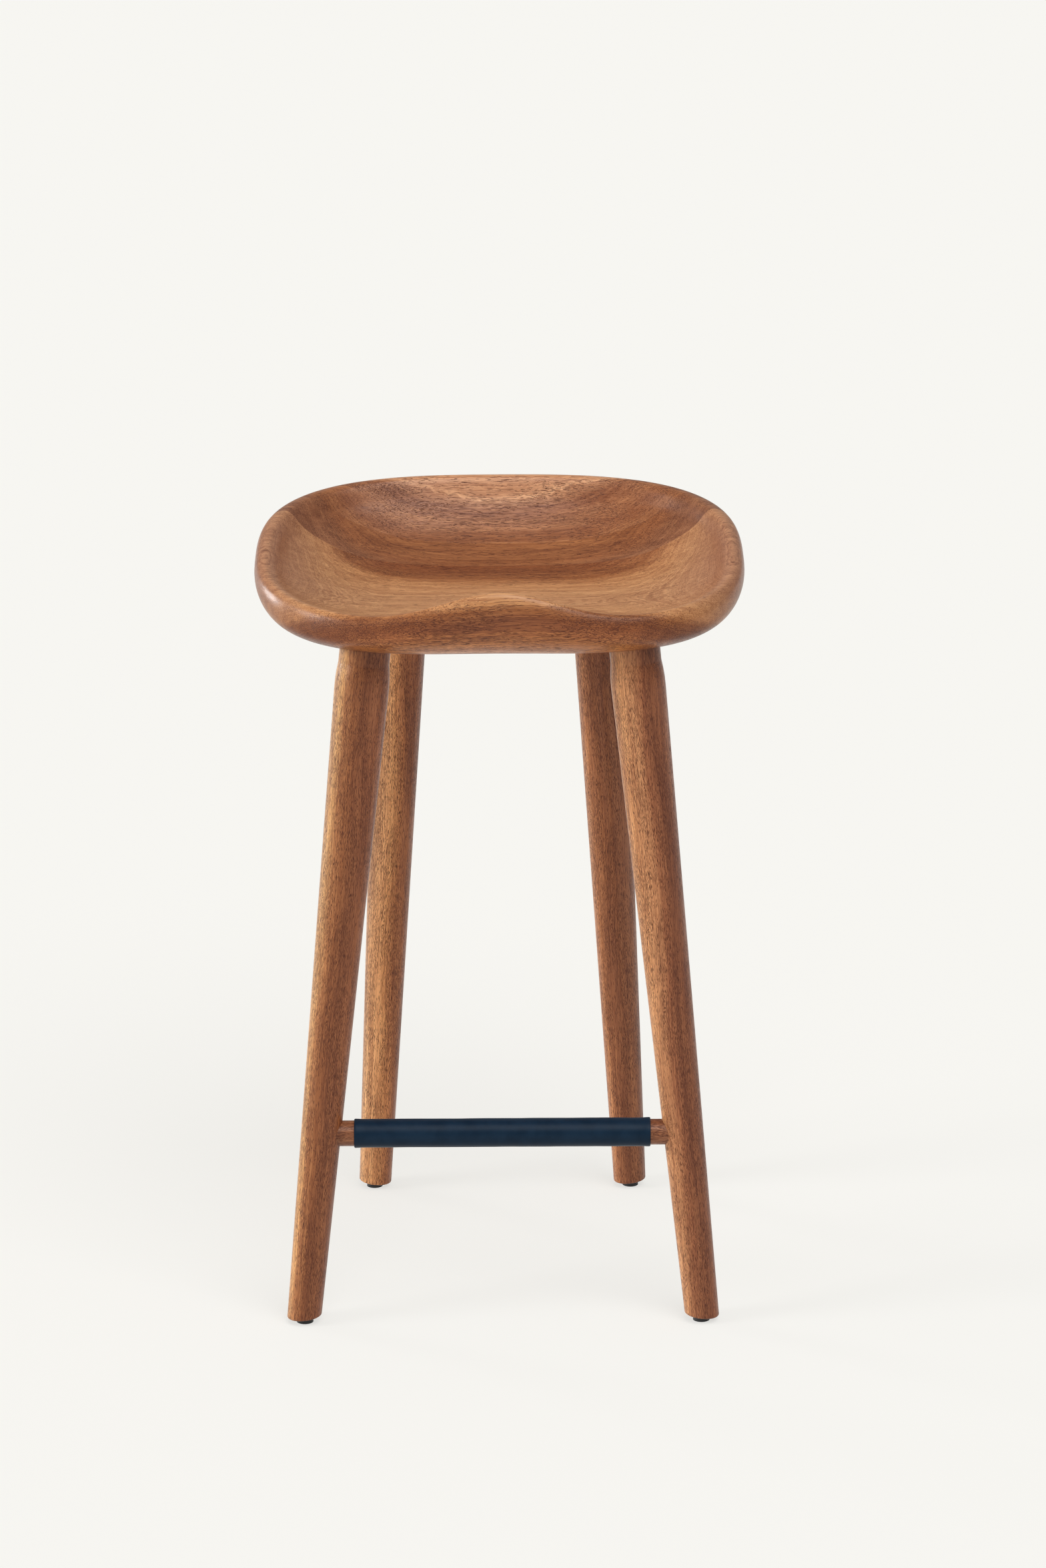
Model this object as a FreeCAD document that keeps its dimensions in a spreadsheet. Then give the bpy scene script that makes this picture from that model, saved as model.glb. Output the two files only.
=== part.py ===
import FreeCAD, Part
import math
import os
import Sketcher
from FreeCAD import Placement, Rotation, Vector

# Counter stool with a carved saddle seat, four turned splayed legs and a leather-sleeved footrest.
# Millimetres, +Z up, front of the stool towards -Y, origin on the floor under the middle of the seat.

SIZES = [
    # Seat block, heights measured up from its flat underside
    ("underside_height", 604, "floor to the flat underside of the seat"),
    ("seat_width", 437, "seat from side to side at the widest line"),
    ("seat_depth", 370, "seat from front to back at the widest line"),
    ("front_squareness", 2.65, "power of the rounded rectangle, front half of the outline"),
    ("rear_squareness", 2.87, "power of the rounded rectangle, rear half of the outline"),
    ("underside_squareness", 1.5, "how much squarer the flat underside is than the outline"),
    ("back_rim_height", 95, "crest of the rim at the back"),
    ("front_rim_height", 43, "crest of the rim under the thighs"),
    ("dish_floor_height", 27.5, "lowest point of the dish"),
    ("dish_power", 4.9, "how late the dish steepens towards the rim"),
    ("pommel_rise", 28, "hump at the front above the thigh hollows"),
    ("pommel_spread", 72, "sideways reach of the hump"),
    ("pommel_length", 140, "reach of the hump back from the front rim"),
    ("pommel_shoulder", 0.75, "share of the hump that carries down to the widest line"),
    ("front_rim_inset", 7.5, "widest line to the crest of the rim at the front, in plan"),
    ("rear_rim_inset", 13, "widest line to the crest of the rim at the back, in plan"),
    ("rim_drop", 12, "crest of the rim down to the widest line"),
    ("rim_lip", 4, "crest of the rim to the edge of the dish, in plan"),
    ("underside_round", 110, "reach of the rounded underside in from the widest line"),
    ("front_glue_line", 86, "Y of the glue line between the front and middle boards"),
    ("rear_glue_line", 124, "Y of the glue line between the middle and rear boards"),
    # Legs, spreads measured between the axes of a pair
    ("front_foot_spread", 358, "front pair at the floor"),
    ("front_top_spread", 237, "front pair at the underside of the seat"),
    ("rear_foot_spread", 245, "rear pair at the floor"),
    ("rear_top_spread", 179, "rear pair at the underside of the seat"),
    ("front_foot_reach", 172, "front feet forward of the origin"),
    ("front_top_reach", 118, "front leg tops forward of the origin"),
    ("rear_foot_reach", 172, "rear feet behind the origin"),
    ("rear_top_reach", 105, "rear leg tops behind the origin"),
    ("leg_foot_diameter", 30, "leg at the end of the blank"),
    ("leg_shoulder_diameter", 48, "leg at its thickest, below the seat"),
    ("leg_head_diameter", 44.8, "straight head that enters the seat"),
    ("shoulder_drop", 30, "underside of the seat down to the thickest point"),
    ("head_drop", 7, "underside of the seat down to the start of the head"),
    ("foot_allowance", 12, "length of the blank sawn off below the floor"),
    ("front_foot_cant", 5.2, "degrees, front foot faces, outer side lower"),
    ("rear_foot_cant", -6, "degrees, rear foot faces, outer side higher"),
    ("foot_round", 1.2, "eased edge round a foot face"),
    # Leg joints
    ("housing_depth", 8, "round housing in the seat for the leg head"),
    ("tenon_diameter", 28, "round tenon above the leg head"),
    ("tenon_length", 16, "tenon above the leg head"),
    ("tenon_chamfer", 1.5, "bevel at the end of a tenon"),
    ("wedge_length", 12.5, "wedge in the kerf of a leg tenon"),
    ("wedge_butt", 3.6, "thickness of a wedge at the tenon's end"),
    ("wedge_tip", 1.2, "thickness of a wedge at its thin end"),
    ("glue_gap", 0.1, "radial room for glue around a head or tenon"),
    ("mortise_room", 0.5, "room past the end of a tenon"),
    # Footrest
    ("bar_height", 173.5, "floor to the axis of the footrest"),
    ("bar_diameter", 23, "footrest bar"),
    ("bar_shoulder_setback", 11, "axis of a front leg to the shoulder of the bar"),
    ("bar_tenon_diameter", 14, "tenon at each end of the bar"),
    ("bar_tenon_length", 13, "tenon past the shoulder of the bar"),
    ("sleeve_setback", 29.6, "axis of a front leg to the end of the leather sleeve"),
    ("sleeve_thickness", 1.4, "leather in the middle of the sleeve"),
    ("hem_thickness", 1.7, "leather at the turned-in ends"),
    ("hem_length", 9, "turned-in end of the sleeve"),
    ("hem_bevel", 0.6, "rounding-off of the sleeve's end"),
    ("seam_width", 0.6, "gap between the butted edges of the leather"),
    ("seam_angle", 20, "degrees, seam below the horizontal at the back of the bar"),
    # Glides
    ("glide_diameter", 15, "plastic glide"),
    ("glide_height", 5.6, "floor to the middle of a foot face"),
    ("nail_head_diameter", 9, "head of the nail inside the glide"),
    ("nail_head_thickness", 1.2, "head of the nail inside the glide"),
    ("nail_head_cover", 2.2, "foot face down to the top of the nail's head"),
    ("nail_diameter", 2.6, "shank of the nail"),
    ("nail_length", 18, "nail above the foot face"),
    ("nail_point", 4, "tapered point of the nail"),
]

# Points on each ring of the seat, and where the rings lie: shares of the dish's reach from its middle,
# then degrees around the rim's outer quarter and around the rounded underside.
RING_POINTS = 40
DISH_RINGS = (0.05, 0.35, 0.55, 0.7, 0.8, 0.88, 0.95, 1.0)
RIM_RINGS = (90, 50, 0)
UNDERSIDE_RINGS = (24, 48, 70, 90)

SIDES = {"left": -1, "right": 1}

doc = FreeCAD.newDocument("CounterStool")
sheet = doc.addObject("Spreadsheet::Sheet", "Sizes")
for row, (alias, value, note) in enumerate(SIZES, start=1):
    sheet.set(f"A{row}", note)
    sheet.set(f"B{row}", str(value))
    sheet.setAlias(f"B{row}", alias)
doc.recompute()


def size(alias):
    return float(sheet.get(alias))


def evaluate(expression):
    return float(sheet.evalExpression(expression))


def add(kind, name, sizes=None, placement=None, **properties):
    """Add a document object, bind its sizes to the sheet and set its other properties and its place."""
    item = doc.addObject(kind, name)
    for key, value in properties.items():
        setattr(item, key, value)
    for key, expression in (sizes or {}).items():
        item.setExpression(key, expression)
    if placement is not None:
        item.Placement = placement
    return item


def at(x=0, y=0, z=0, turn=0, axis=Vector(0, 0, 1)):
    return Placement(Vector(x, y, z), Rotation(axis, turn))


def turned(name, outline, placement, smooth_after=None):
    """Turn a closed half outline, corners given as (radius, height) expressions, about the body's Z axis.

    The edge after corner number smooth_after is an arc, tangent to the edge before it.
    """
    body = doc.addObject("PartDesign::Body", name)
    sketch = body.newObject("Sketcher::SketchObject", name + "Outline")
    plane = next(item for item in body.Origin.OriginFeatures if item.Role == "XZ_Plane")
    sketch.AttachmentSupport = (plane, [""])
    sketch.MapMode = "FlatFace"
    corners = [Vector(evaluate(radius), evaluate(height), 0) for radius, height in outline]
    count = len(corners)
    for index, corner in enumerate(corners):
        following = corners[(index + 1) % count]
        if index == smooth_after:
            before = corner - corners[index - 1]
            sketch.addGeometry(tangent_arc(corner, before, following), False)
        else:
            sketch.addGeometry(Part.LineSegment(corner, following), False)
    for index, (radius, height) in enumerate(outline):
        previous = (index - 1) % count
        joint = "Tangent" if index == smooth_after else "Coincident"
        sketch.addConstraint(Sketcher.Constraint(joint, previous, 2, index, 1))
        for kind, axis, expression in (("DistanceX", -2, radius), ("DistanceY", -1, height)):
            if evaluate(expression) == 0:
                sketch.addConstraint(Sketcher.Constraint("PointOnObject", index, 1, axis))
                continue
            number = sketch.addConstraint(
                Sketcher.Constraint(kind, -1, 1, index, 1, evaluate(expression)))
            sketch.setExpression(f"Constraints[{number}]", expression)
    turning = body.newObject("PartDesign::Revolution", name + "Turning")
    turning.Profile = sketch
    turning.ReferenceAxis = (sketch, ["V_Axis"])
    turning.Angle = 360
    body.Placement = placement
    return body


def tangent_arc(start, direction, end):
    """Arc from start to end that leaves start along direction."""
    along = Vector(direction).normalize()
    across = Vector(-along.y, along.x, 0)
    chord = end - start
    radius = chord.dot(chord) / (2 * chord.dot(across))
    centre = start + across * radius
    middle = start + chord * 0.5 - centre
    middle = centre + middle.normalize() * abs(radius)
    return Part.Arc(start, middle, end)


# Seat: rings from the middle of the dish, over the rim and under to the flat underside

def outline_point(angle, extra_squareness=0):
    """Point at an angle on a unit rounded rectangle, squarer at the back than at the front."""
    across = math.cos(angle)
    along = math.sin(angle)
    power = size("front_squareness") if along < 0 else size("rear_squareness")
    power += extra_squareness
    reach = (abs(across) ** power + abs(along) ** power) ** (-1 / power)
    return across * reach, along * reach


def crest_height(along):
    """Rim crest above the floor, rising evenly from the front (-1) to the back (+1)."""
    front = size("front_rim_height")
    rise = size("back_rim_height") - front
    return size("underside_height") + front + rise * (1 + along) / 2


def rim_inset(along):
    """Widest line to the rim crest in plan, growing evenly from the front (-1) to the back (+1)."""
    front = size("front_rim_inset")
    return front + (size("rear_rim_inset") - front) * (1 + along) / 2


def pommel(x, y):
    """Height that the front hump adds at a plan position."""
    front_edge = -(size("seat_depth") / 2 - size("front_rim_inset") - size("rim_lip"))
    fade = 1 - (y - front_edge) / size("pommel_length")
    fade = min(max(fade, 0), 1) ** 2
    return size("pommel_rise") * math.exp(-(x / size("pommel_spread")) ** 2) * fade


def dish_point(angle, share):
    """Point of the dish, at a share of the way out from its flat middle to its edge."""
    across, along = outline_point(angle)
    inset = rim_inset(along) + size("rim_lip")
    x = share * across * (size("seat_width") / 2 - inset)
    y = share * along * (size("seat_depth") / 2 - inset)
    floor = size("underside_height") + size("dish_floor_height")
    lip_drop = size("rim_drop") * (size("rim_lip") / rim_inset(along)) ** 2 / 2
    edge = crest_height(along) - lip_drop
    flat = DISH_RINGS[0]
    climb = ((share - flat) / (1 - flat)) ** size("dish_power")
    return Vector(x, y, floor + (edge - floor) * climb + pommel(x, y))


def rim_point(angle, degrees):
    """Point of the rim's outer quarter, from its crest (90) to the widest line (0)."""
    across, along = outline_point(angle)
    inset = rim_inset(along) * (1 - math.cos(math.radians(degrees)))
    lift = math.sin(math.radians(degrees))
    x = across * (size("seat_width") / 2 - inset)
    y = along * (size("seat_depth") / 2 - inset)
    crest = crest_height(along) - size("rim_drop") * (1 - lift)
    shoulder = size("pommel_shoulder")
    return Vector(x, y, crest + (shoulder + (1 - shoulder) * lift) * pommel(x, y))


def underside_point(angle, degrees):
    """Point of the rounded underside, from the widest line (0) to the flat (90)."""
    across, along = outline_point(angle, size("underside_squareness") * degrees / UNDERSIDE_RINGS[-1])
    inset = size("underside_round") * (1 - math.cos(math.radians(degrees)))
    x = across * (size("seat_width") / 2 - inset)
    y = along * (size("seat_depth") / 2 - inset)
    widest = crest_height(along) - size("rim_drop")
    sink = math.sin(math.radians(degrees))
    fall = (widest - size("underside_height")) * sink
    hump = pommel(across * size("seat_width") / 2, along * size("seat_depth") / 2)
    return Vector(x, y, widest - fall + size("pommel_shoulder") * hump * (1 - sink) ** 2)


def seat_ring(point, position):
    """Closed curve through the points of one ring."""
    angles = [2 * math.pi * step / RING_POINTS for step in range(RING_POINTS)]
    ring = Part.BSplineCurve()
    ring.interpolate(
        Points=[point(angle, position) for angle in angles],
        PeriodicFlag=True,
        Parameters=angles + [2 * math.pi])
    return ring


def level_slope(start, end, length):
    """Direction from start to end along the horizontal, per unit of length."""
    return Vector(end.x - start.x, end.y - start.y, 0) * (1 / length)


def seat_surface():
    """One smooth surface through all the rings, level where it meets the flat at each end."""
    rings = [seat_ring(dish_point, share) for share in DISH_RINGS]
    rings += [seat_ring(rim_point, degrees) for degrees in RIM_RINGS]
    rings += [seat_ring(underside_point, degrees) for degrees in UNDERSIDE_RINGS]
    ring_poles = [ring.getPoles() for ring in rings]
    stations = [0]
    for ring, following in zip(ring_poles, ring_poles[1:]):
        gaps = [(end - start).Length for start, end in zip(ring, following)]
        stations.append(stations[-1] + sum(gaps) / len(gaps))
    ribs = []
    for poles in zip(*ring_poles):
        rib = Part.BSplineCurve()
        rib.interpolate(
            Points=list(poles),
            Parameters=stations,
            InitialTangent=level_slope(poles[0], poles[1], stations[1]),
            FinalTangent=level_slope(poles[-2], poles[-1], stations[-1] - stations[-2]),
            Scale=False)
        ribs.append(rib)
    ring, rib = rings[0], ribs[0]
    surface = Part.BSplineSurface()
    surface.buildFromPolesMultsKnots(
        [rib.getPoles() for rib in ribs],
        ring.getMultiplicities(), rib.getMultiplicities(),
        ring.getKnots(), rib.getKnots(),
        True, False, ring.Degree, rib.Degree)
    return surface


def carved_block():
    """Seat block: the carved surface, closed by the flat underside and the flat spot of the dish."""
    skin = seat_surface().toShape()
    flats = [Part.Face(Part.Wire(edge)) for edge in skin.Edges if edge.isClosed()]
    block = Part.Solid(Part.Shell([skin] + flats))
    tolerance = Part.Precision.confusion()
    block.fix(tolerance, tolerance, tolerance)
    return block


carved_seat = doc.addObject("Part::Feature", "CarvedSeat")
carved_seat.Shape = carved_block()


# Legs: axes, turnings, joints, feet and glides

def leg_frames(row, side):
    """Place of a leg along its axis, and of its sawn foot face."""
    depth = -1 if row == "front" else 1
    foot = Vector(side * size(f"{row}_foot_spread") / 2, depth * size(f"{row}_foot_reach"), 0)
    top = Vector(
        side * size(f"{row}_top_spread") / 2, depth * size(f"{row}_top_reach"), size("underside_height"))
    axis = (top - foot).normalize()
    leg = Placement(foot, Rotation(Vector(0, 0, 1), axis))
    foot_middle = foot + axis * (size("glide_height") / axis.z)
    foot_face = Placement(foot_middle, Rotation(Vector(0, 1, 0), side * size(f"{row}_foot_cant")))
    return leg, foot_face


def foot_edge(shape, foot_face):
    """Number of the edge round a leg's sawn foot face."""
    level = foot_face.inverse()
    sawn = min(shape.Faces, key=lambda face: abs(level.multVec(face.CenterOfMass).z))
    rim = sawn.OuterWire.Edges[0]
    return next(number for number, edge in enumerate(shape.Edges, start=1) if edge.isSame(rim))


def leg_reach(row):
    """Length of a leg's axis from the floor to the underside of the seat."""
    return (f"sqrt(((Sizes.{row}_foot_spread - Sizes.{row}_top_spread) / 2)^2"
            f" + (Sizes.{row}_foot_reach - Sizes.{row}_top_reach)^2 + Sizes.underside_height^2)")


# Footrest lengths, from the distance between the axes of the front legs at its height
AXES_APART = ("(Sizes.front_foot_spread + (Sizes.front_top_spread - Sizes.front_foot_spread)"
              " * Sizes.bar_height / Sizes.underside_height)")
BAR_SPAN = f"({AXES_APART} - 2 * Sizes.bar_shoulder_setback)"
BAR_LENGTH = f"({BAR_SPAN} + 2 * Sizes.bar_tenon_length)"
MORTISE_SPAN = f"({BAR_LENGTH} + 2 * Sizes.mortise_room)"
SLEEVE_LENGTH = f"({AXES_APART} - 2 * Sizes.sleeve_setback)"


def bar_start(length):
    """Left end of a piece of the footrest that is centred on the line where the leg axes are crossed."""
    share = size("bar_height") / size("underside_height")
    reach = size("front_foot_reach") + share * (size("front_top_reach") - size("front_foot_reach"))
    return Vector(-evaluate(length) / 2, -reach, size("bar_height"))


def bar_place(length):
    return Placement(bar_start(length), Rotation(Vector(0, 1, 0), 90))


bar_shoulders = add(
    "Part::Cylinder", "BarHousing",
    {"Radius": "Sizes.bar_diameter / 2 + Sizes.glue_gap", "Height": BAR_SPAN},
    bar_place(BAR_SPAN))
bar_tenons = add(
    "Part::Cylinder", "BarMortise",
    {"Radius": "Sizes.bar_tenon_diameter / 2 + Sizes.glue_gap", "Height": MORTISE_SPAN},
    bar_place(MORTISE_SPAN))

leg_holes = []
pieces = []
for row in ("front", "rear"):
    for side_name, side in SIDES.items():
        name = f"{row}_{side_name}"
        title = name.title().replace("_", "")
        leg_place, foot_face = leg_frames(row, side)
        reach = leg_reach(row)
        blank_top = f"({reach} + Sizes.foot_allowance)"
        tenon_end = f"({reach} + Sizes.housing_depth + Sizes.tenon_length)"
        blank_end = f"({tenon_end} + Sizes.foot_allowance)"

        # Turning blank, longer than the leg at the foot
        blank = turned(f"{title}Blank", [
            ("0", "0"),
            ("Sizes.leg_foot_diameter / 2", "0"),
            ("Sizes.leg_shoulder_diameter / 2", f"{blank_top} - Sizes.shoulder_drop"),
            ("Sizes.leg_head_diameter / 2", f"{blank_top} - Sizes.head_drop"),
            ("Sizes.leg_head_diameter / 2", f"{blank_top} + Sizes.housing_depth"),
            ("Sizes.tenon_diameter / 2", f"{blank_top} + Sizes.housing_depth"),
            ("Sizes.tenon_diameter / 2", f"{blank_end} - Sizes.tenon_chamfer"),
            ("Sizes.tenon_diameter / 2 - Sizes.tenon_chamfer", blank_end),
            ("0", blank_end),
        ], leg_place * at(z=-size("foot_allowance")), smooth_after=2)

        # Holes in the seat for the head and the tenon
        leg_holes.append(add(
            "Part::Cylinder", f"{title}Housing",
            {"Radius": "Sizes.leg_head_diameter / 2 + Sizes.glue_gap",
             "Height": "Sizes.housing_depth + Sizes.head_drop"},
            leg_place * at(z=evaluate(f"{reach} - Sizes.head_drop"))))
        leg_holes.append(add(
            "Part::Cylinder", f"{title}Mortise",
            {"Radius": "Sizes.tenon_diameter / 2 + Sizes.glue_gap",
             "Height": "Sizes.housing_depth + Sizes.tenon_length + Sizes.mortise_room"},
            leg_place * at(z=evaluate(reach))))

        # Wedge driven into the kerf of the tenon, across the grain of the seat
        wedge_place = leg_place * at(
            z=evaluate(f"{tenon_end} - Sizes.wedge_length"), turn=90, axis=Vector(1, 0, 0))
        wedge_sizes = {
            "Xmin": "-Sizes.wedge_tip / 2", "Xmax": "Sizes.wedge_tip / 2",
            "X2min": "-Sizes.wedge_butt / 2", "X2max": "Sizes.wedge_butt / 2",
            "Ymin": "0", "Ymax": "Sizes.wedge_length",
            "Zmin": "-Sizes.tenon_diameter", "Zmax": "Sizes.tenon_diameter",
            "Z2min": "-Sizes.tenon_diameter", "Z2max": "Sizes.tenon_diameter"}
        kerf = add("Part::Wedge", f"{title}Kerf", wedge_sizes, wedge_place)
        wedge_round = add(
            "Part::Cylinder", f"{title}WedgeRound",
            {"Radius": "Sizes.tenon_diameter / 2 - Sizes.tenon_chamfer", "Height": "Sizes.wedge_length"},
            leg_place * at(z=evaluate(f"{tenon_end} - Sizes.wedge_length")))
        wedge = add("Part::Common", f"{title}Wedge", Base=kerf, Tool=wedge_round)

        # Nail moulded into the glide, head down
        nail_top = "Sizes.nail_head_cover + Sizes.nail_head_thickness + Sizes.nail_length"
        nail = turned(f"{title}Nail", [
            ("0", "0"),
            ("Sizes.nail_head_diameter / 2", "0"),
            ("Sizes.nail_head_diameter / 2", "Sizes.nail_head_thickness"),
            ("Sizes.nail_diameter / 2", "Sizes.nail_head_thickness"),
            ("Sizes.nail_diameter / 2", f"{nail_top} - Sizes.nail_point"),
            ("0", nail_top),
        ], foot_face * at(z=-evaluate("Sizes.nail_head_cover + Sizes.nail_head_thickness")))

        # Glide square to the foot face, worn flat on the floor
        glide_disc = add(
            "Part::Cylinder", f"{title}GlideDisc",
            {"Radius": "Sizes.glide_diameter / 2", "Height": "2 * Sizes.glide_height"},
            foot_face * at(z=-2 * size("glide_height")))
        floor = add(
            "Part::Box", f"{title}Floor",
            {"Length": "2 * Sizes.glide_diameter", "Width": "2 * Sizes.glide_diameter",
             "Height": "2 * Sizes.glide_height"},
            at(foot_face.Base.x - size("glide_diameter"), foot_face.Base.y - size("glide_diameter"),
               -2 * size("glide_height")))
        glide_flat = add("Part::Cut", f"{title}GlideFlat", Base=glide_disc, Tool=floor)
        glide = add("Part::Cut", f"{title}Glide", Base=glide_flat, Tool=nail)

        # Finished leg: kerf, sawn and eased foot, nail hole and, at the front, the footrest's mortise
        offcut_height = "Sizes.foot_allowance + Sizes.glide_height + Sizes.leg_foot_diameter"
        foot_offcut = add(
            "Part::Box", f"{title}FootOffcut",
            {"Length": "2 * Sizes.leg_foot_diameter", "Width": "2 * Sizes.leg_foot_diameter",
             "Height": offcut_height},
            foot_face * at(-size("leg_foot_diameter"), -size("leg_foot_diameter"),
                           -evaluate(offcut_height)))
        cuts = [kerf, foot_offcut, nail]
        if row == "front":
            cuts += [bar_shoulders, bar_tenons]
        leg_cuts = add("Part::MultiFuse", f"{title}LegCuts", Shapes=cuts)
        sawn_leg = add("Part::Cut", f"{title}SawnLeg", Base=blank, Tool=leg_cuts)
        doc.recompute()
        foot_round = size("foot_round")
        leg = add(
            "Part::Fillet", f"{title}Leg", Base=sawn_leg,
            Edges=[(foot_edge(sawn_leg.Shape, foot_face), foot_round, foot_round)])

        for label, piece in (
                (f"{name}_leg", leg), (f"{name}_wedge", wedge),
                (f"{name}_glide", glide), (f"{name}_glide_nail", nail)):
            piece.Label = label
            pieces.append(piece)

# Seat drilled for the legs as one block, then shown as the three boards that it is glued up from
seat_holes = add("Part::MultiFuse", "SeatHoles", Shapes=leg_holes)
drilled_seat = add("Part::Cut", "DrilledSeat", Base=carved_seat, Tool=seat_holes)
board_limits = {
    "seat_front_board": ("-Sizes.seat_depth", "Sizes.front_glue_line"),
    "seat_middle_board": ("Sizes.front_glue_line", "Sizes.rear_glue_line"),
    "seat_rear_board": ("Sizes.rear_glue_line", "Sizes.seat_depth"),
}
for label, (near, far) in board_limits.items():
    title = label.title().replace("_", "")
    slab = add(
        "Part::Box", f"{title}Slab",
        {"Length": "2 * Sizes.seat_width", "Width": f"({far}) - ({near})",
         "Height": "2 * Sizes.underside_height"},
        at(-size("seat_width"), evaluate(near), 0))
    board = add("Part::Common", title, Base=drilled_seat, Tool=slab)
    board.Label = label
    pieces.append(board)


# Footrest: bar with shouldered tenons, and the leather sleeve with its butted seam at the back

bar = turned("FootrestBar", [
    ("0", "0"),
    ("Sizes.bar_tenon_diameter / 2", "0"),
    ("Sizes.bar_tenon_diameter / 2", "Sizes.bar_tenon_length"),
    ("Sizes.bar_diameter / 2", "Sizes.bar_tenon_length"),
    ("Sizes.bar_diameter / 2", f"Sizes.bar_tenon_length + {BAR_SPAN}"),
    ("Sizes.bar_tenon_diameter / 2", f"Sizes.bar_tenon_length + {BAR_SPAN}"),
    ("Sizes.bar_tenon_diameter / 2", BAR_LENGTH),
    ("0", BAR_LENGTH),
], bar_place(BAR_LENGTH))
bar.Label = "footrest_bar"

inner = "Sizes.bar_diameter / 2"
hem = f"{inner} + Sizes.hem_thickness"
outer = f"{inner} + Sizes.sleeve_thickness"
sleeve = turned("Sleeve", [
    (inner, "0"),
    (f"{hem} - Sizes.hem_bevel", "0"),
    (hem, "Sizes.hem_bevel"),
    (hem, "Sizes.hem_length - Sizes.hem_thickness"),
    (outer, "Sizes.hem_length"),
    (outer, f"{SLEEVE_LENGTH} - Sizes.hem_length"),
    (hem, f"{SLEEVE_LENGTH} - Sizes.hem_length + Sizes.hem_thickness"),
    (hem, f"{SLEEVE_LENGTH} - Sizes.hem_bevel"),
    (f"{hem} - Sizes.hem_bevel", SLEEVE_LENGTH),
    (inner, SLEEVE_LENGTH),
], bar_place(SLEEVE_LENGTH))
seam_turn = Placement(bar_start(SLEEVE_LENGTH), Rotation(Vector(1, 0, 0), -size("seam_angle")))
seam = add(
    "Part::Box", "Seam",
    {"Length": SLEEVE_LENGTH, "Width": "Sizes.bar_diameter", "Height": "Sizes.seam_width"},
    seam_turn * at(z=-size("seam_width") / 2))
leather = add("Part::Cut", "FootrestLeather", Base=sleeve, Tool=seam)
leather.Label = "footrest_leather"
pieces += [bar, leather]

doc.recompute()

for item in doc.Objects:
    if {"Invalid", "Error"} & set(item.State):
        raise RuntimeError(f"{item.Name} failed to build")
for piece in pieces:
    if piece.Shape.isNull() or not piece.Shape.isValid():
        raise RuntimeError(f"{piece.Label} has no valid shape")

os.makedirs("parts", exist_ok=True)
for piece in pieces:
    piece.Shape.exportStep(f"parts/{piece.Label}.step")
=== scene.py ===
import math
import bpy
from mathutils import Euler, Matrix, Vector


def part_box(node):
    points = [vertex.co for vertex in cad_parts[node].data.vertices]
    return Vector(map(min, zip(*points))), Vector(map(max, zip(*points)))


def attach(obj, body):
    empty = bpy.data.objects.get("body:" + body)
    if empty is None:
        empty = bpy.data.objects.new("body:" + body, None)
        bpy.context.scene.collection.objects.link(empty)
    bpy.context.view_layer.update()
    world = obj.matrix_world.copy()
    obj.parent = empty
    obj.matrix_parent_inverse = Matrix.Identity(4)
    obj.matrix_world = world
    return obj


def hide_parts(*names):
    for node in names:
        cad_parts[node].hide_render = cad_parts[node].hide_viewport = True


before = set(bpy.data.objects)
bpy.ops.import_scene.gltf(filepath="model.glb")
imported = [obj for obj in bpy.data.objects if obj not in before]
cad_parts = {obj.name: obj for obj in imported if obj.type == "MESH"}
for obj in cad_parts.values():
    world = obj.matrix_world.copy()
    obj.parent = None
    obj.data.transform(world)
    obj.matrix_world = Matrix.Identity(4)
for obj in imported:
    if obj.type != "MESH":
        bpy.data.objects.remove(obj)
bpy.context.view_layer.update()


# Seat: three boards of oiled hardwood, glued edge to edge and carved as one saddle, with the grain
# running from side to side. Each board comes from another place in the log, so each has a figure of
# its own: growth bands that the hollow cuts into arches, and open pores that show as dark dashes.

class Shade:
    """A value in a finish. Arithmetic on it adds Math nodes, and node() adds any other node."""

    def __init__(self, tree, socket=None):
        self.tree = tree
        self.socket = socket

    def node(self, kind, inputs=(), output=0, stops=(), **settings):
        made = self.tree.nodes.new(kind)
        for setting, value in settings.items():
            setattr(made, setting, value)
        for index, (position, colour) in enumerate(stops):
            ramp = made.color_ramp.elements
            stop = ramp[index] if index < 2 else ramp.new(position)
            stop.position = position
            stop.color = (*colour, 1)
        for name, value in dict(inputs).items():
            if isinstance(value, Shade):
                self.tree.links.new(value.socket, made.inputs[name])
            else:
                made.inputs[name].default_value = value
        return Shade(self.tree, made.outputs[output])

    def math(self, operation, *values):
        return self.node("ShaderNodeMath", enumerate(values), operation=operation)

    def vector(self, operation, *values, output=0):
        return self.node("ShaderNodeVectorMath", enumerate(values), output, operation=operation)

    def eased(self, low, high):
        """0 at low and 1 at high, with soft ends."""
        return self.node(
            "ShaderNodeMapRange", {"Value": self, "From Min": low, "From Max": high},
            interpolation_type="SMOOTHSTEP")

    def between(self, first, last):
        """The first colour where this value is 0, and the last where it is 1."""
        # A Mix node has sockets for every kind of value, and these are its numbers for colours
        factor, first_colour, last_colour, mixed_colour = 0, 6, 7, 2
        return self.node(
            "ShaderNodeMix", {factor: self, first_colour: first, last_colour: last}, mixed_colour,
            data_type="RGBA")

    def feed(self, shader, name):
        self.tree.links.new(self.socket, shader.inputs[name])

    def __add__(self, other):
        return self.math("ADD", self, other)

    def __radd__(self, other):
        return self.math("ADD", other, self)

    def __sub__(self, other):
        return self.math("SUBTRACT", self, other)

    def __rsub__(self, other):
        return self.math("SUBTRACT", other, self)

    def __mul__(self, other):
        return self.math("MULTIPLY", self, other)

    def __rmul__(self, other):
        return self.math("MULTIPLY", other, self)


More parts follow.
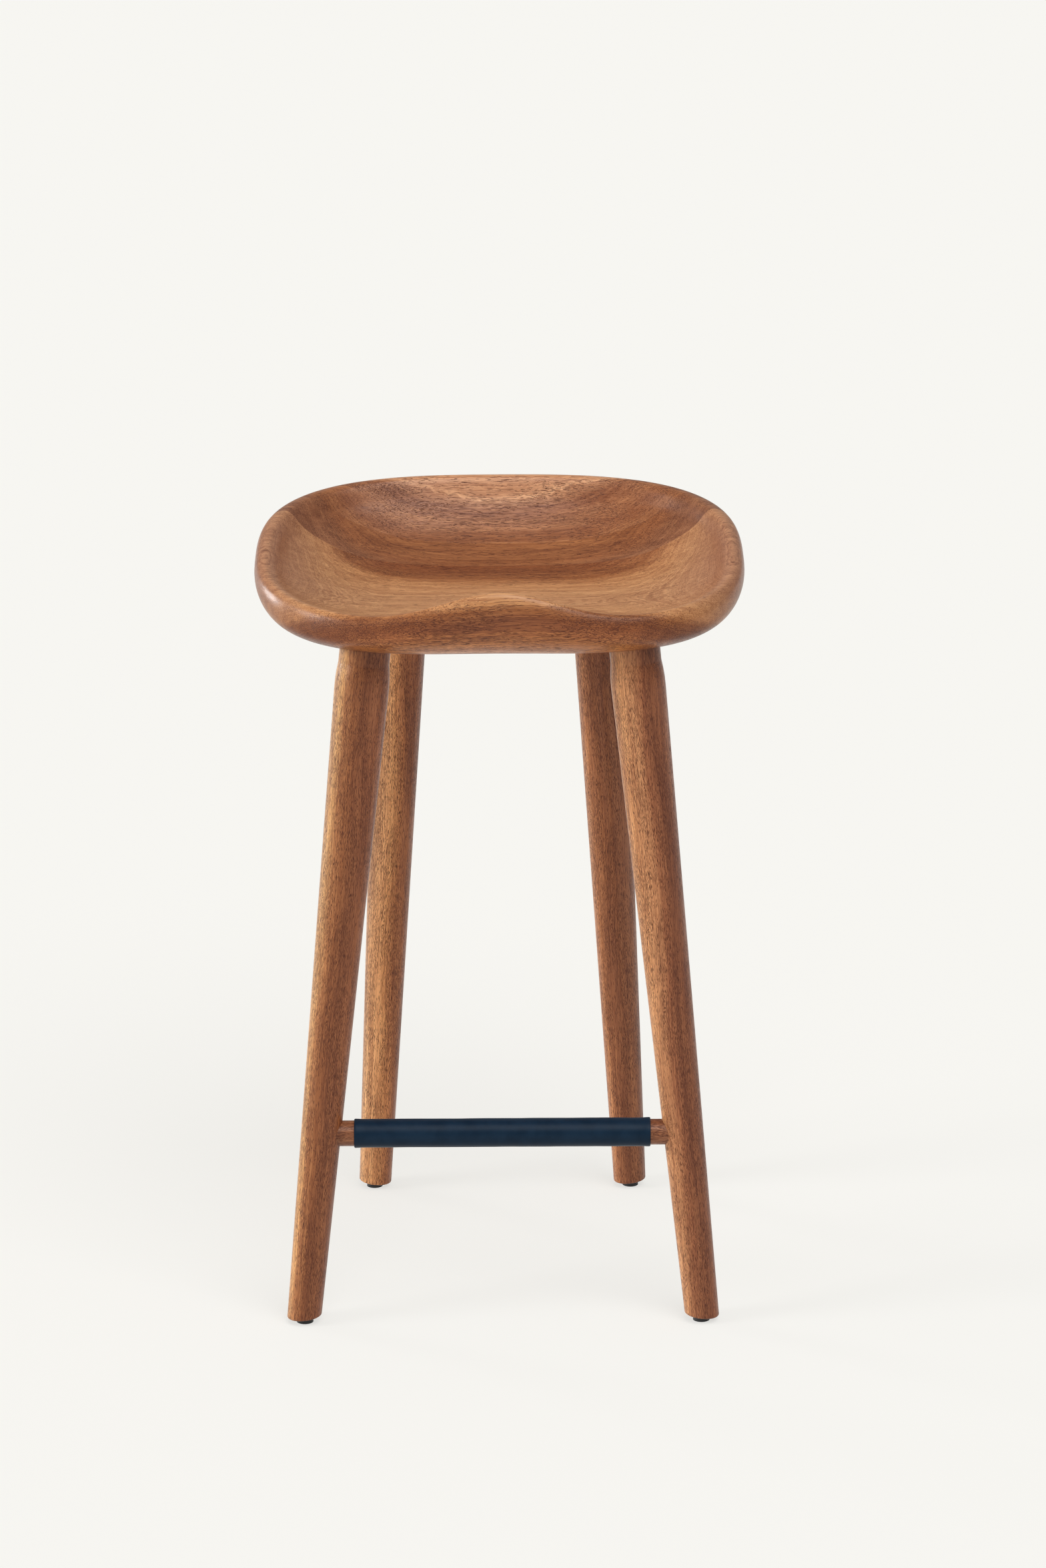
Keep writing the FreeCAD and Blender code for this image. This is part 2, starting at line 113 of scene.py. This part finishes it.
def new_finish(name):
    """A new finish, its shader, and an empty value to start its nodes from."""
    finish = bpy.data.materials.new(name)
    finish.use_nodes = True
    return finish, finish.node_tree.nodes["Principled BSDF"], Shade(finish.node_tree)


def oiled_wood(
        name, origin, turn, heart, colours_by_radius, pores, ring_depth=0.3, streak_depth=0.3, pore_length=5,
        pore_width=0.75):
    """Oiled hardwood, the same all through: growth bands round the heart, pores and fibres along the grain.

    origin and turn place the board's own axes, with the grain along X. heart is the middle of the log,
    across the grain, in millimetres. colours_by_radius and pores list a colour and a share of pores by
    the distance from the heart; the colours are growth bands, and on the legs and on parts of the seat
    they also hold painted light. ring_depth and streak_depth are the strengths of the fine rings and of
    the streaks, and pore_length and pore_width are the room that each pore has, in millimetres.
    """
    millimetre = 0.001
    pore_colour = (0.062, 0.009, 0.001, 1)
    finish, shader, wood = new_finish(name)
    spot = wood.node("ShaderNodeTexCoord", output="Object")
    board = wood.node(
        "ShaderNodeMapping",
        {"Vector": spot, "Location": origin, "Rotation": turn, "Scale": (millimetre,) * 3},
        vector_type="TEXTURE")

    def mottling(place, along, across, detail, output=0):
        """Noise with so many patches to a millimetre along the grain and across it."""
        stretched = wood.vector("MULTIPLY", place, (along, across, across))
        return wood.node("ShaderNodeTexNoise", {"Vector": stretched, "Scale": 1, "Detail": detail}, output)

    def strayed(place, noise, reach):
        """The place moved across the grain, by up to the reach either way."""
        shift = wood.vector("MULTIPLY_ADD", noise, (0, 2 * reach, 2 * reach), (0, -reach, -reach))
        return wood.vector("ADD", place, shift)

    # The grain wanders by some millimetres along a board, and ripples finely
    wander = mottling(board, along=0.0045, across=0.013, detail=3, output="Color")
    bent = strayed(board, wander, reach=8)
    ripple = mottling(board, along=0.12, across=0.05, detail=2, output="Color")
    rippled = strayed(bent, ripple, reach=1.5)
    from_heart = wood.vector("MULTIPLY_ADD", rippled, (0, 1, 1), (0, -heart[0], -heart[1]))
    radius = wood.vector("LENGTH", from_heart, output="Value")

    def by_radius(stops):
        first, last = stops[0][0], stops[-1][0]
        return wood.node(
            "ShaderNodeValToRGB", {"Fac": (radius - first) * (1 / (last - first))},
            stops=[((distance - first) / (last - first), colour) for distance, colour in stops])

    # Growth bands, which on the legs and on parts of the seat also hold painted light, fine rings between
    # them, and streaks and fibres along the grain
    tint = by_radius(colours_by_radius)
    rings = wood.node(
        "ShaderNodeTexNoise", {"W": radius, "Scale": 0.9, "Detail": 3, "Roughness": 0.6},
        noise_dimensions="1D").eased(0.3, 0.7)
    streaks = mottling(bent, along=0.005, across=0.16, detail=4).eased(0.3, 0.7)
    fibres = mottling(bent, along=0.035, across=1.2, detail=3).eased(0.25, 0.75)
    fibre_depth = 0.4

    # Pores: short open vessels, each in a cell of its own, staggered and in drifts
    most_stagger = 9
    stagger = most_stagger * mottling(bent, along=0.01, across=1.1, detail=0)
    stagger = wood.node("ShaderNodeCombineXYZ", {"X": stagger})
    spacing = (1 / pore_length, 1 / pore_width, 1 / pore_width)
    cells = wood.vector("ADD", wood.vector("MULTIPLY", bent, spacing), stagger)
    from_middle = wood.node("ShaderNodeTexVoronoi", {"Vector": cells, "Scale": 1}, output="Distance")
    lot = wood.node("ShaderNodeTexVoronoi", {"Vector": cells, "Scale": 1}, output="Color")
    lot = wood.node("ShaderNodeSeparateColor", {"Color": lot})
    share = by_radius([(distance, (part,) * 3) for distance, part in pores])
    drifts = mottling(bent, along=0.012, across=0.06, detail=2).eased(0.3, 0.7)
    crowding = 0.35 + 1.3 * drifts
    open_cell = wood.math("LESS_THAN", lot, share * crowding)
    pore = open_cell * (1 - from_middle.eased(0.36, 0.52))
    pore_strength = 0.95

    # The ends of the grain drink more oil and turn darker and redder, with fainter rings
    facing = wood.node("ShaderNodeTexCoord", output="Normal")
    facing = wood.node(
        "ShaderNodeVectorRotate", {"Vector": facing, "Rotation": turn}, rotation_type="EULER_XYZ",
        invert=True)
    facing = wood.node("ShaderNodeSeparateXYZ", {"Vector": facing})
    end_grain = facing * facing
    ring_tone = ring_depth * (1 - 0.75 * end_grain) * (rings - 0.5)
    depth = 1 + ring_tone + streak_depth * (streaks - 0.5) + fibre_depth * (fibres - 0.5)

    # Dark streaks are redder than light ones, so green and blue change more than red does
    soaked = wood.node("ShaderNodeCombineXYZ", {
        channel: wood.math("POWER", depth, power) * (1 - soaking * end_grain)
        for channel, power, soaking in (("X", 1, 0.45), ("Y", 1.35, 0.56), ("Z", 1.5, 0.6))})
    solid_wood = wood.vector("MULTIPLY", tint, soaked)
    colour = (pore * pore_strength).between(solid_wood, pore_colour)
    colour.feed(shader, "Base Color")
    roughness = 0.27 + 0.1 * fibres + 0.25 * pore
    roughness.feed(shader, "Roughness")
    height = 0.3 * fibres - pore
    relief = wood.node("ShaderNodeBump", {"Height": height, "Strength": 0.3, "Distance": 0.00015})
    relief.feed(shader, "Normal")
    shader.inputs["IOR"].default_value = 1.42
    return finish


def dress(node, finish):
    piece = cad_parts[node]
    piece.data.materials.clear()
    piece.data.materials.append(finish)


# The palest tones, farthest from the heart at the top of the back wall, are partly paler wood and partly
# painted light on that wall.
rear_board_wood = oiled_wood(
    "rear_board_wood", origin=(0, 0, 0), turn=(0, 0, 0), heart=(-150, 745),
    colours_by_radius=[
        (270, (0.31, 0.110, 0.039)), (288, (0.36, 0.135, 0.050)), (296, (0.31, 0.108, 0.041)),
        (304, (0.41, 0.162, 0.066)), (311, (0.33, 0.121, 0.051)), (314, (0.38, 0.151, 0.066)),
        (317, (0.64, 0.315, 0.160)), (345, (0.58, 0.262, 0.118))],
    pores=[(270, 0.3), (290, 0.45), (305, 0.65), (312, 0.8), (318, 0.5), (322, 0.4), (345, 0.5)],
    ring_depth=0.3, streak_depth=0.25, pore_length=4.6, pore_width=0.6)
dress("seat_rear_board", rear_board_wood)

middle_board_wood = oiled_wood(
    "middle_board_wood", origin=(0, 0, 0), turn=(0, 0, 0), heart=(-77, 805),
    colours_by_radius=[
        (200, (0.27, 0.105, 0.047)), (222, (0.33, 0.130, 0.056)), (232, (0.27, 0.099, 0.040)),
        (240, (0.31, 0.105, 0.035)), (247, (0.27, 0.089, 0.028)), (256, (0.32, 0.110, 0.035))],
    pores=[(200, 0.3), (256, 0.35)],
    ring_depth=0.4, streak_depth=0.3)
dress("seat_middle_board", middle_board_wood)

# Far from the heart, low on the front face, the tones turn lighter: partly the board's own growth bands,
# partly painted bounce light from the floor.
front_board_wood = oiled_wood(
    "front_board_wood", origin=(0, 0, 0), turn=(0, 0, 0), heart=(-40, 870),
    colours_by_radius=[
        (190, (0.43, 0.186, 0.090)), (210, (0.44, 0.194, 0.092)), (226, (0.49, 0.228, 0.105)),
        (238, (0.54, 0.256, 0.110)), (248, (0.54, 0.240, 0.095)), (254, (0.34, 0.118, 0.038)),
        (262, (0.25, 0.076, 0.024)), (268, (0.27, 0.079, 0.024)), (275, (0.42, 0.136, 0.040)),
        (281, (0.60, 0.216, 0.060)), (300, (0.52, 0.176, 0.050))],
    pores=[(190, 0.35), (215, 0.15), (245, 0.15), (252, 0.5), (260, 0.75), (275, 0.85), (300, 0.8)],
    ring_depth=0.38, streak_depth=0.25, pore_width=0.66)
dress("seat_front_board", front_board_wood)


# Legs: turned from the same hardwood, thickest below the seat and tapering to the foot, each with a
# round tenon that is glued and wedged blind into the seat. The grain runs along each leg, from the
# point foot on the floor to the point top under the seat, a little askew in the front right one.

seat_underside = 0.604
leg_pores = [(174, 0.6), (190, 1.0), (205, 0.8), (228, 1.0)]
# Each leg's tones run across it from its left side to its right: lighter on the left, towards the left
# lamps, and darker on the right. This is partly sapwood and heartwood, and partly painted side light.
for name, foot, top, grain_and_painted_side_light in (
        ("front_left", (-0.179, -0.172), (-0.1185, -0.118), [
            (174, (0.68, 0.376, 0.172)), (184, (0.67, 0.336, 0.128)), (190, (0.48, 0.190, 0.068)),
            (196, (0.28, 0.092, 0.030)), (204, (0.24, 0.076, 0.026)), (214, (0.29, 0.094, 0.034)),
            (228, (0.38, 0.125, 0.045))]),
        ("front_right", (0.173, -0.172), (0.1205, -0.118), [
            (174, (0.60, 0.276, 0.114)), (186, (0.68, 0.310, 0.128)), (191, (0.63, 0.282, 0.120)),
            (197, (0.47, 0.190, 0.078)), (203, (0.34, 0.116, 0.045)), (210, (0.23, 0.072, 0.027)),
            (218, (0.24, 0.074, 0.027)), (228, (0.36, 0.120, 0.042))]),
        ("rear_left", (-0.1225, 0.172), (-0.0895, 0.105), [
            (174, (0.52, 0.250, 0.118)), (183, (0.60, 0.296, 0.132)), (190, (0.76, 0.370, 0.158)),
            (197, (0.77, 0.352, 0.142)), (202, (0.70, 0.301, 0.112)), (207, (0.54, 0.200, 0.070)),
            (212, (0.40, 0.136, 0.046)), (228, (0.35, 0.114, 0.039))]),
        ("rear_right", (0.1225, 0.172), (0.0895, 0.105), [
            (174, (0.57, 0.250, 0.102)), (184, (0.55, 0.220, 0.086)), (189, (0.46, 0.170, 0.062)),
            (195, (0.30, 0.099, 0.036)), (202, (0.27, 0.088, 0.032)), (207, (0.30, 0.101, 0.037)),
            (215, (0.26, 0.087, 0.032)), (228, (0.32, 0.106, 0.037))])):
    foot = Vector((*foot, 0))
    along = (Vector((*top, seat_underside)) - foot).normalized()
    sideways = (Vector((1, 0, 0)) - along.x * along).normalized()
    turn = Matrix((along, sideways, along.cross(sideways))).transposed().to_euler()
    # The heart lies 200 mm to the left of each leg, so the colours change from the leg's left side to its
    # right.
    leg_wood = oiled_wood(
        f"{name}_leg_wood", origin=foot, turn=turn, heart=(-200, 0), colours_by_radius=grain_and_painted_side_light, pores=leg_pores,
        ring_depth=0.25, streak_depth=0.35, pore_length=3.4, pore_width=0.44)
    dress(f"{name}_leg", leg_wood)


# Leg wedges: thin wedges split from a paler hardwood and driven into the kerf of each tenon. They
# spread the tenons in their mortises, and are hidden inside the seat.

corners = ("front_left", "front_right", "rear_left", "rear_right")
wedge_wood = oiled_wood(
    "wedge_wood", origin=(0, 0, 0), turn=(0, math.radians(-90), 0), heart=(0, 300),
    colours_by_radius=[(150, (0.45, 0.30, 0.16)), (450, (0.50, 0.34, 0.19))],
    pores=[(150, 0.2), (450, 0.2)], ring_depth=0.2, streak_depth=0.2)
for corner in corners:
    dress(f"{corner}_wedge", wedge_wood)


# Footrest bar: a turned dowel of the same hardwood as the legs. A round tenon at each end is glued
# into a mortise in a front leg, and only a short length shows on each side of the leather.

bar_low, bar_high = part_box("footrest_bar")
bar_middle = (bar_low + bar_high) / 2
bar_wood = oiled_wood(
    "bar_wood", origin=bar_middle, turn=(0, 0, 0), heart=(20, -60),
    colours_by_radius=[(45, (0.25, 0.092, 0.040)), (62, (0.31, 0.115, 0.048)), (80, (0.27, 0.097, 0.040))],
    pores=[(45, 0.9), (80, 0.9)], ring_depth=0.25, streak_depth=0.35, pore_length=3.4, pore_width=0.44)
dress("footrest_bar", bar_wood)


# Footrest leather: navy cowhide wrapped round the bar, with its ends rolled over. Its edges are
# butted and sewn together along the back, where the seam doesn't show from the front.

sleeve_low, sleeve_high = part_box("footrest_leather")
sleeve_middle = (sleeve_low + sleeve_high) / 2
sleeve_half = (sleeve_high.x - sleeve_low.x) / 2
sleeve_radius = 0.0128
rolled_end = ((0, 0.0123), (0.0003, 0.01285), (0.0009, 0.01308), (0.002, 0.01308), (0.004, 0.0130))
rolled_inside = 0.007
ring_gap = 0.006
rings_each_way = 20
columns = 128
half_column = math.pi / columns
seam_angle = math.radians(20)
seam = Vector((0, math.cos(seam_angle), -math.sin(seam_angle)))


def pick(kind, chosen):
    """Select only the chosen vertices or faces of the active piece, and leave it in edit mode."""
    bpy.ops.object.mode_set(mode="EDIT")
    bpy.ops.mesh.select_mode(type="VERT" if kind == "vertices" else "FACE")
    bpy.ops.mesh.select_all(action="DESELECT")
    bpy.ops.object.mode_set(mode="OBJECT")
    for element in getattr(bpy.context.object.data, kind):
        element.select = chosen(element)
    bpy.ops.object.mode_set(mode="EDIT")


bpy.ops.object.select_all(action="DESELECT")
bpy.ops.mesh.primitive_cylinder_add(
    vertices=columns, radius=sleeve_radius, depth=2 * sleeve_half, end_fill_type="NOTHING",
    location=sleeve_middle, rotation=(0, math.pi / 2, 0))
leather = bpy.context.object
leather.name = "footrest_leather_sleeve"
bpy.ops.object.transform_apply(location=True, rotation=True, scale=True)

# Rings along the sleeve, close together at the rolled ends
bpy.ops.object.mode_set(mode="EDIT")
rings = [step * ring_gap for step in range(-rings_each_way, rings_each_way + 1)]
insets = [inset for inset, radius in rolled_end[1:]]
for inset in insets + [rolled_inside]:
    rings += [inset - sleeve_half, sleeve_half - inset]
for ring in rings:
    bpy.ops.mesh.select_all(action="SELECT")
    bpy.ops.mesh.bisect(plane_co=(sleeve_middle.x + ring, 0, 0), plane_no=(1, 0, 0))
hairbreadth = 0.0001
for inset, radius in rolled_end:
    ring = sleeve_half - inset
    pick("vertices", lambda vertex: abs(ring - abs(vertex.co.x - sleeve_middle.x)) < hairbreadth)
    bpy.ops.transform.resize(
        value=(1, radius / sleeve_radius, radius / sleeve_radius), center_override=sleeve_middle)

# The seam stays open along one column of faces, low at the back
pick("polygons", lambda face: Vector((0, *(face.center - sleeve_middle).yz)).angle(seam) < half_column)
bpy.ops.mesh.delete(type="FACE")
bpy.ops.object.mode_set(mode="OBJECT")

# Hand-wrapped hide isn't quite even
unevenness = bpy.data.textures.new("leather_unevenness", "CLOUDS")
unevenness.noise_scale = 0.03
swell = leather.modifiers.new("swell", "DISPLACE")
swell.texture = unevenness
swell.strength = 0.0005
wall = leather.modifiers.new("wall", "SOLIDIFY")
wall.thickness = 0.0011
wall.offset = -1
edge = leather.modifiers.new("edge", "BEVEL")
edge.width = 0.0003
edge.segments = 2
edge.limit_method = "ANGLE"
edge.angle_limit = math.radians(50)
for modifier in ("swell", "wall", "edge"):
    bpy.ops.object.modifier_apply(modifier=modifier)
bpy.ops.object.shade_smooth_by_angle(angle=math.radians(40))

navy_leather, shader, hide = new_finish("navy_leather")
spot = hide.node("ShaderNodeTexCoord", output="Object")
pebbles = hide.node(
    "ShaderNodeTexVoronoi", {"Vector": spot, "Scale": 1500}, output="Distance", feature="SMOOTH_F1")
mottle = hide.node("ShaderNodeTexNoise", {"Vector": spot, "Scale": 60, "Detail": 4})
dark_navy = (0.003, 0.015, 0.034, 1)
light_navy = (0.006, 0.022, 0.047, 1)
mottle.eased(0.3, 0.7).between(dark_navy, light_navy).feed(shader, "Base Color")
roughness = 0.34 + 0.1 * mottle
roughness.feed(shader, "Roughness")
relief = hide.node("ShaderNodeBump", {"Height": pebbles, "Strength": 0.2, "Distance": 0.0002})
relief.feed(shader, "Normal")
shader.inputs["Specular IOR Level"].default_value = 0.14
leather.data.materials.append(navy_leather)
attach(leather, "root")
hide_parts("footrest_leather")


# Seam stitches: dark waxed thread, sewn by hand through both edges of the hide. Each stitch slants
# across the seam and lies half sunk in it, pulled down by the next one.

stitch_gap = 0.006
stitch_count = 43
stitch_slant = math.radians(25)
stitch_half = 0.0016
thread_radius = 0.00045
middle_band = 0.00001
bpy.ops.object.select_all(action="DESELECT")
bpy.ops.mesh.primitive_uv_sphere_add(segments=12, ring_count=12, radius=thread_radius)
stitch = bpy.context.object
for end in (1, -1):
    pick("vertices", lambda vertex: end * vertex.co.z > middle_band)
    bpy.ops.transform.translate(value=(0, 0, end * stitch_half))
bpy.ops.mesh.select_all(action="SELECT")
bpy.ops.transform.rotate(value=stitch_slant, orient_axis="Y", center_override=(0, 0, 0))
bpy.ops.transform.rotate(value=seam_angle, orient_axis="X", center_override=(0, 0, 0))
bpy.ops.object.mode_set(mode="OBJECT")
stitches = []
for number in range(stitch_count):
    copy = stitch.copy()
    copy.data = stitch.data.copy()
    bpy.context.collection.objects.link(copy)
    along = (number - (stitch_count - 1) / 2) * stitch_gap
    copy.data.transform(Matrix.Translation(sleeve_middle + Vector((along, 0, 0)) + sleeve_radius * seam))
    stitches.append(copy)
bpy.data.objects.remove(stitch)
bpy.ops.object.select_all(action="DESELECT")
for copy in stitches:
    copy.select_set(True)
thread = stitches[0]
bpy.context.view_layer.objects.active = thread
bpy.ops.object.join()
thread.name = "footrest_leather_stitches"
bpy.ops.object.shade_smooth()


def specked_finish(name, scale, detail, dark, light, smooth, spread):
    """A finish whose colour and roughness vary in fine specks: smooth where dark, rougher where light."""
    finish, shader, base = new_finish(name)
    spot = base.node("ShaderNodeTexCoord", output="Object")
    specks = base.node("ShaderNodeTexNoise", {"Vector": spot, "Scale": scale, "Detail": detail})
    specks.between(dark, light).feed(shader, "Base Color")
    roughness = smooth + spread * specks
    roughness.feed(shader, "Roughness")
    return finish


waxed_thread = specked_finish(
    "waxed_thread", scale=2500, detail=1, dark=(0.004, 0.012, 0.03, 1), light=(0.012, 0.03, 0.065, 1),
    smooth=0.5, spread=0.2)
thread.data.materials.append(waxed_thread)
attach(thread, "root")
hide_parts("footrest_leather")


# Glides: black feet of moulded plastic, slightly scuffed, one under each leg. They keep the sawn
# ends of the legs off the floor.

glide_plastic = specked_finish(
    "glide_plastic", scale=900, detail=3, dark=(0.009, 0.009, 0.01, 1), light=(0.022, 0.022, 0.024, 1),
    smooth=0.4, spread=0.25)
for corner in corners:
    dress(f"{corner}_glide", glide_plastic)


# Glide nails: steel nails with drawn shanks, their heads moulded into the glides. They are driven
# up into the legs and hold the glides there, out of sight.

nail_steel = specked_finish(
    "nail_steel", scale=700, detail=2, dark=(0.42, 0.42, 0.43, 1), light=(0.58, 0.58, 0.58, 1),
    smooth=0.25, spread=0.2)
nail_steel.node_tree.nodes["Principled BSDF"].inputs["Metallic"].default_value = 1
for corner in corners:
    dress(f"{corner}_glide_nail", nail_steel)


# Studio: a pale floor that runs back past the top of the picture, a soft dome of light, and three
# soft lamps: one from the left, a low one from behind on the left, and a broad one above the front.

floor_side = 80
pale = (0.93, 0.922, 0.888, 1)
dull = (0.72, 0.714, 0.688, 1)
glow_share = 0.7
bpy.ops.object.select_all(action="DESELECT")
bpy.ops.mesh.primitive_plane_add(size=floor_side)
floor = bpy.context.object
floor.name = "studio_floor"
floor_paint, shader, paint = new_finish("studio_floor")
floor_paint.node_tree.nodes.remove(shader)
seen = paint.node("ShaderNodeLightPath", output="Is Camera Ray")
mirrored = paint.node("ShaderNodeLightPath", output="Is Glossy Ray")
shown = paint.math("MAXIMUM", seen, mirrored)
matt = paint.node("ShaderNodeBsdfDiffuse", {"Color": shown.between(dull, pale)})
glow = paint.node("ShaderNodeEmission", {"Color": pale, "Strength": 1})
mixed = paint.node("ShaderNodeMixShader", {0: glow_share * shown, 1: matt, 2: glow})
mixed.feed(floor_paint.node_tree.nodes["Material Output"], "Surface")
floor.data.materials.append(floor_paint)

world = bpy.data.worlds.new("studio_dome")
bpy.context.scene.world = world
world.use_nodes = True
background = world.node_tree.nodes["Background"]
background.inputs["Color"].default_value = (1, 0.991, 0.955, 1)
dome = Shade(world.node_tree)
direction = dome.node("ShaderNodeTexCoord", output="Generated")
height = dome.node("ShaderNodeSeparateXYZ", {"Vector": direction}, output="Z")
brightness = 0.31 + 0.15 * height
seen = dome.node("ShaderNodeLightPath", output="Is Camera Ray")
backdrop = 0.93 * seen
dome.math("MAXIMUM", backdrop, brightness).feed(background, "Strength")

for name, towards, spread, strength in (
        ("left_light", (-0.9, -0.25, 0.36), 24, 1.3),
        ("rim_light", (-0.82, 0.52, 0.12), 16, 1.1),
        ("top_light", (0.25, -0.50, 0.83), 45, 1.5)):
    bpy.ops.object.light_add(type="SUN", rotation=Vector(towards).to_track_quat("Z", "Y").to_euler())
    light = bpy.context.object
    light.name = name
    light.data.angle = math.radians(spread)
    light.data.energy = strength

camera_tilt = math.radians(90 - 16.310)
camera_yaw = math.radians(-0.258)
camera_roll = math.radians(-0.217)
bpy.ops.object.camera_add(location=(0, -4.5172, 1.7731))
camera = bpy.context.object
camera.name = "studio_camera"
aim = Euler((camera_tilt, 0, camera_yaw)).to_matrix()
camera.rotation_euler = (aim @ Matrix.Rotation(camera_roll, 3, "Z")).to_euler()
camera.data.sensor_fit = "VERTICAL"
camera.data.sensor_height = 36
camera.data.lens = 119.34
camera.data.clip_end = 200
bpy.context.scene.camera = camera
bpy.context.scene.view_settings.view_transform = "Standard"
